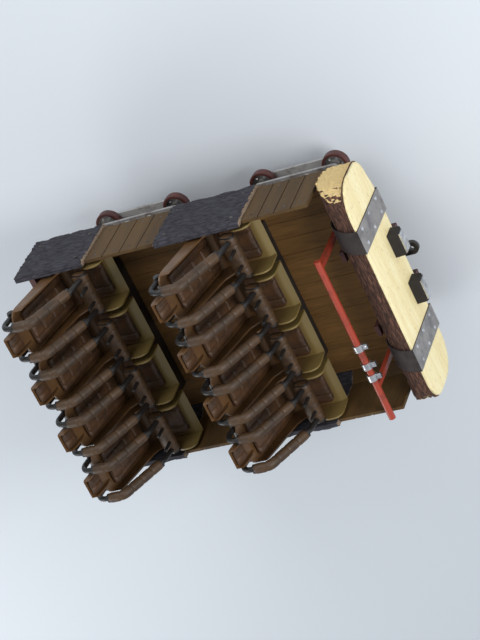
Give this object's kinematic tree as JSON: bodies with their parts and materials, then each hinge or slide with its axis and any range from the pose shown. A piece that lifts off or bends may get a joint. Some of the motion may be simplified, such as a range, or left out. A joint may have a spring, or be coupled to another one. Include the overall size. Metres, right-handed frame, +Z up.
{
  "type": "roller coaster car",
  "caption": "Timber-clad roller coaster car: bucket seats with over-the-shoulder lap bars in two rows, a sawn log nose, and wheel bogies that grip a tubular rail.",
  "frame": {"origin": "middle of the footprint, at the height of the lowest wheels", "axes": "+X forwards, towards the log nose, +Y to the riders' left, +Z up"},
  "size_m": [3, 2, 1.8377],
  "materials": {
    "chassis_paint": "satin red-brown paint",
    "axle_steel": "greased dark steel",
    "floor_boards": "stained planks",
    "fin_plate": "plain plate",
    "bumper_rubber": "matt rubber",
    "bright_steel": "bright plate",
    "bark": "rough bark",
    "sawn_timber": "sawn and clear varnished",
    "iron_strap": "matt grey",
    "red_rail": "gloss paint",
    "red_timber": "stained timber",
    "dark_slab": "dark stained slab, rough outside",
    "ochre_timber": "stained timber",
    "seat_steel": "satin paint",
    "seat_shell": "moulded glass-fibre",
    "vinyl": "grained vinyl",
    "restraint_vinyl": "moulded skin over steel tube",
    "polyurethane": "cast polyurethane on an aluminium hub",
    "carrier_zinc": "silver paint"
  },
  "bodies": {
    "car": {"long_beams": "chassis_paint", "cross_beams": "chassis_paint", "bogie_axles": "axle_steel", "nose_mounts": "chassis_paint", "floor_plate": "floor_boards", "brake_fin": "fin_plate", "bumper_blocks": "bumper_rubber", "bumper_faces": "bright_steel", "couplers": "axle_steel", "log_bark": "bark", "log_face": "sawn_timber", "log_straps": "iron_strap", "nose_rail": "red_rail", "rail_clamps": "bright_steel", "rear_panel": "red_timber", "dark_panels_left": "dark_slab", "dark_panels_right": "dark_slab", "timber_panels_left": "ochre_timber", "timber_panels_right": "ochre_timber", "seat_frame_front": "seat_steel", "seat_shells_front": "seat_shell", "seat_cushions_front": "vinyl", "seat_frame_rear": "seat_steel", "seat_shells_rear": "seat_shell", "seat_cushions_rear": "vinyl", "carrier_front_left": "carrier_zinc", "carrier_front_right": "carrier_zinc", "carrier_rear_left": "carrier_zinc", "carrier_rear_right": "carrier_zinc"},
    "road_wheel_front_left_lead": {"road_wheel_front_left_lead": "polyurethane"},
    "side_wheel_front_left_lead": {"side_wheel_front_left_lead": "polyurethane"},
    "road_wheel_front_left_trail": {"road_wheel_front_left_trail": "polyurethane"},
    "side_wheel_front_left_trail": {"side_wheel_front_left_trail": "polyurethane"},
    "stop_wheel_front_left": {"stop_wheel_front_left": "polyurethane"},
    "road_wheel_front_right_lead": {"road_wheel_front_right_lead": "polyurethane"},
    "side_wheel_front_right_lead": {"side_wheel_front_right_lead": "polyurethane"},
    "road_wheel_front_right_trail": {"road_wheel_front_right_trail": "polyurethane"},
    "side_wheel_front_right_trail": {"side_wheel_front_right_trail": "polyurethane"},
    "stop_wheel_front_right": {"stop_wheel_front_right": "polyurethane"},
    "road_wheel_rear_left_lead": {"road_wheel_rear_left_lead": "polyurethane"},
    "side_wheel_rear_left_lead": {"side_wheel_rear_left_lead": "polyurethane"},
    "road_wheel_rear_left_trail": {"road_wheel_rear_left_trail": "polyurethane"},
    "side_wheel_rear_left_trail": {"side_wheel_rear_left_trail": "polyurethane"},
    "stop_wheel_rear_left": {"stop_wheel_rear_left": "polyurethane"},
    "road_wheel_rear_right_lead": {"road_wheel_rear_right_lead": "polyurethane"},
    "side_wheel_rear_right_lead": {"side_wheel_rear_right_lead": "polyurethane"},
    "road_wheel_rear_right_trail": {"road_wheel_rear_right_trail": "polyurethane"},
    "side_wheel_rear_right_trail": {"side_wheel_rear_right_trail": "polyurethane"},
    "stop_wheel_rear_right": {"stop_wheel_rear_right": "polyurethane"},
    "restraint_front_1": {"restraint_front_1": "restraint_vinyl"},
    "restraint_front_2": {"restraint_front_2": "restraint_vinyl"},
    "restraint_front_3": {"restraint_front_3": "restraint_vinyl"},
    "restraint_front_4": {"restraint_front_4": "restraint_vinyl"},
    "restraint_rear_1": {"restraint_rear_1": "restraint_vinyl"},
    "restraint_rear_2": {"restraint_rear_2": "restraint_vinyl"},
    "restraint_rear_3": {"restraint_rear_3": "restraint_vinyl"},
    "restraint_rear_4": {"restraint_rear_4": "restraint_vinyl"}
  },
  "joints": [
    {"name": "road_spin_front_left_lead", "type": "hinge", "parent": "car", "child": "road_wheel_front_left_lead", "pos_m": [1.02, 0.6, 0.443], "axis": [0, 1, 0], "continuous": true},
    {"name": "side_spin_front_left_lead", "type": "hinge", "parent": "car", "child": "side_wheel_front_left_lead", "pos_m": [1.04, 0.783, 0.253], "axis": [0, 0, 1], "continuous": true},
    {"name": "road_spin_front_left_trail", "type": "hinge", "parent": "car", "child": "road_wheel_front_left_trail", "pos_m": [0.42, 0.6, 0.443], "axis": [0, 1, 0], "continuous": true},
    {"name": "side_spin_front_left_trail", "type": "hinge", "parent": "car", "child": "side_wheel_front_left_trail", "pos_m": [0.4, 0.783, 0.253], "axis": [0, 0, 1], "continuous": true},
    {"name": "stop_spin_front_left", "type": "hinge", "parent": "car", "child": "stop_wheel_front_left", "pos_m": [0.72, 0.6, 0.09], "axis": [0, 1, 0], "continuous": true},
    {"name": "road_spin_front_right_lead", "type": "hinge", "parent": "car", "child": "road_wheel_front_right_lead", "pos_m": [1.02, -0.6, 0.443], "axis": [0, 1, 0], "continuous": true},
    {"name": "side_spin_front_right_lead", "type": "hinge", "parent": "car", "child": "side_wheel_front_right_lead", "pos_m": [1.04, -0.783, 0.253], "axis": [0, 0, 1], "continuous": true},
    {"name": "road_spin_front_right_trail", "type": "hinge", "parent": "car", "child": "road_wheel_front_right_trail", "pos_m": [0.42, -0.6, 0.443], "axis": [0, 1, 0], "continuous": true},
    {"name": "side_spin_front_right_trail", "type": "hinge", "parent": "car", "child": "side_wheel_front_right_trail", "pos_m": [0.4, -0.783, 0.253], "axis": [0, 0, 1], "continuous": true},
    {"name": "stop_spin_front_right", "type": "hinge", "parent": "car", "child": "stop_wheel_front_right", "pos_m": [0.72, -0.6, 0.09], "axis": [0, 1, 0], "continuous": true},
    {"name": "road_spin_rear_left_lead", "type": "hinge", "parent": "car", "child": "road_wheel_rear_left_lead", "pos_m": [-0.42, 0.6, 0.443], "axis": [0, 1, 0], "continuous": true},
    {"name": "side_spin_rear_left_lead", "type": "hinge", "parent": "car", "child": "side_wheel_rear_left_lead", "pos_m": [-0.4, 0.783, 0.253], "axis": [0, 0, 1], "continuous": true},
    {"name": "road_spin_rear_left_trail", "type": "hinge", "parent": "car", "child": "road_wheel_rear_left_trail", "pos_m": [-1.02, 0.6, 0.443], "axis": [0, 1, 0], "continuous": true},
    {"name": "side_spin_rear_left_trail", "type": "hinge", "parent": "car", "child": "side_wheel_rear_left_trail", "pos_m": [-1.04, 0.783, 0.253], "axis": [0, 0, 1], "continuous": true},
    {"name": "stop_spin_rear_left", "type": "hinge", "parent": "car", "child": "stop_wheel_rear_left", "pos_m": [-0.72, 0.6, 0.09], "axis": [0, 1, 0], "continuous": true},
    {"name": "road_spin_rear_right_lead", "type": "hinge", "parent": "car", "child": "road_wheel_rear_right_lead", "pos_m": [-0.42, -0.6, 0.443], "axis": [0, 1, 0], "continuous": true},
    {"name": "side_spin_rear_right_lead", "type": "hinge", "parent": "car", "child": "side_wheel_rear_right_lead", "pos_m": [-0.4, -0.783, 0.253], "axis": [0, 0, 1], "continuous": true},
    {"name": "road_spin_rear_right_trail", "type": "hinge", "parent": "car", "child": "road_wheel_rear_right_trail", "pos_m": [-1.02, -0.6, 0.443], "axis": [0, 1, 0], "continuous": true},
    {"name": "side_spin_rear_right_trail", "type": "hinge", "parent": "car", "child": "side_wheel_rear_right_trail", "pos_m": [-1.04, -0.783, 0.253], "axis": [0, 0, 1], "continuous": true},
    {"name": "stop_spin_rear_right", "type": "hinge", "parent": "car", "child": "stop_wheel_rear_right", "pos_m": [-0.72, -0.6, 0.09], "axis": [0, 1, 0], "continuous": true},
    {"name": "restraint_front_1_lift", "type": "hinge", "parent": "car", "child": "restraint_front_1", "pos_m": [-0.085, 0.705, 1.58], "axis": [0, -1, 0], "range_deg": [0, 80]},
    {"name": "restraint_front_2_lift", "type": "hinge", "parent": "car", "child": "restraint_front_2", "pos_m": [-0.085, 0.235, 1.58], "axis": [0, -1, 0], "range_deg": [0, 80]},
    {"name": "restraint_front_3_lift", "type": "hinge", "parent": "car", "child": "restraint_front_3", "pos_m": [-0.085, -0.235, 1.58], "axis": [0, -1, 0], "range_deg": [0, 80]},
    {"name": "restraint_front_4_lift", "type": "hinge", "parent": "car", "child": "restraint_front_4", "pos_m": [-0.085, -0.705, 1.58], "axis": [0, -1, 0], "range_deg": [0, 80]},
    {"name": "restraint_rear_1_lift", "type": "hinge", "parent": "car", "child": "restraint_rear_1", "pos_m": [-1.415, 0.705, 1.58], "axis": [0, -1, 0], "range_deg": [0, 80]},
    {"name": "restraint_rear_2_lift", "type": "hinge", "parent": "car", "child": "restraint_rear_2", "pos_m": [-1.415, 0.235, 1.58], "axis": [0, -1, 0], "range_deg": [0, 80]},
    {"name": "restraint_rear_3_lift", "type": "hinge", "parent": "car", "child": "restraint_rear_3", "pos_m": [-1.415, -0.235, 1.58], "axis": [0, -1, 0], "range_deg": [0, 80]},
    {"name": "restraint_rear_4_lift", "type": "hinge", "parent": "car", "child": "restraint_rear_4", "pos_m": [-1.415, -0.705, 1.58], "axis": [0, -1, 0], "range_deg": [0, 80]}
  ]
}
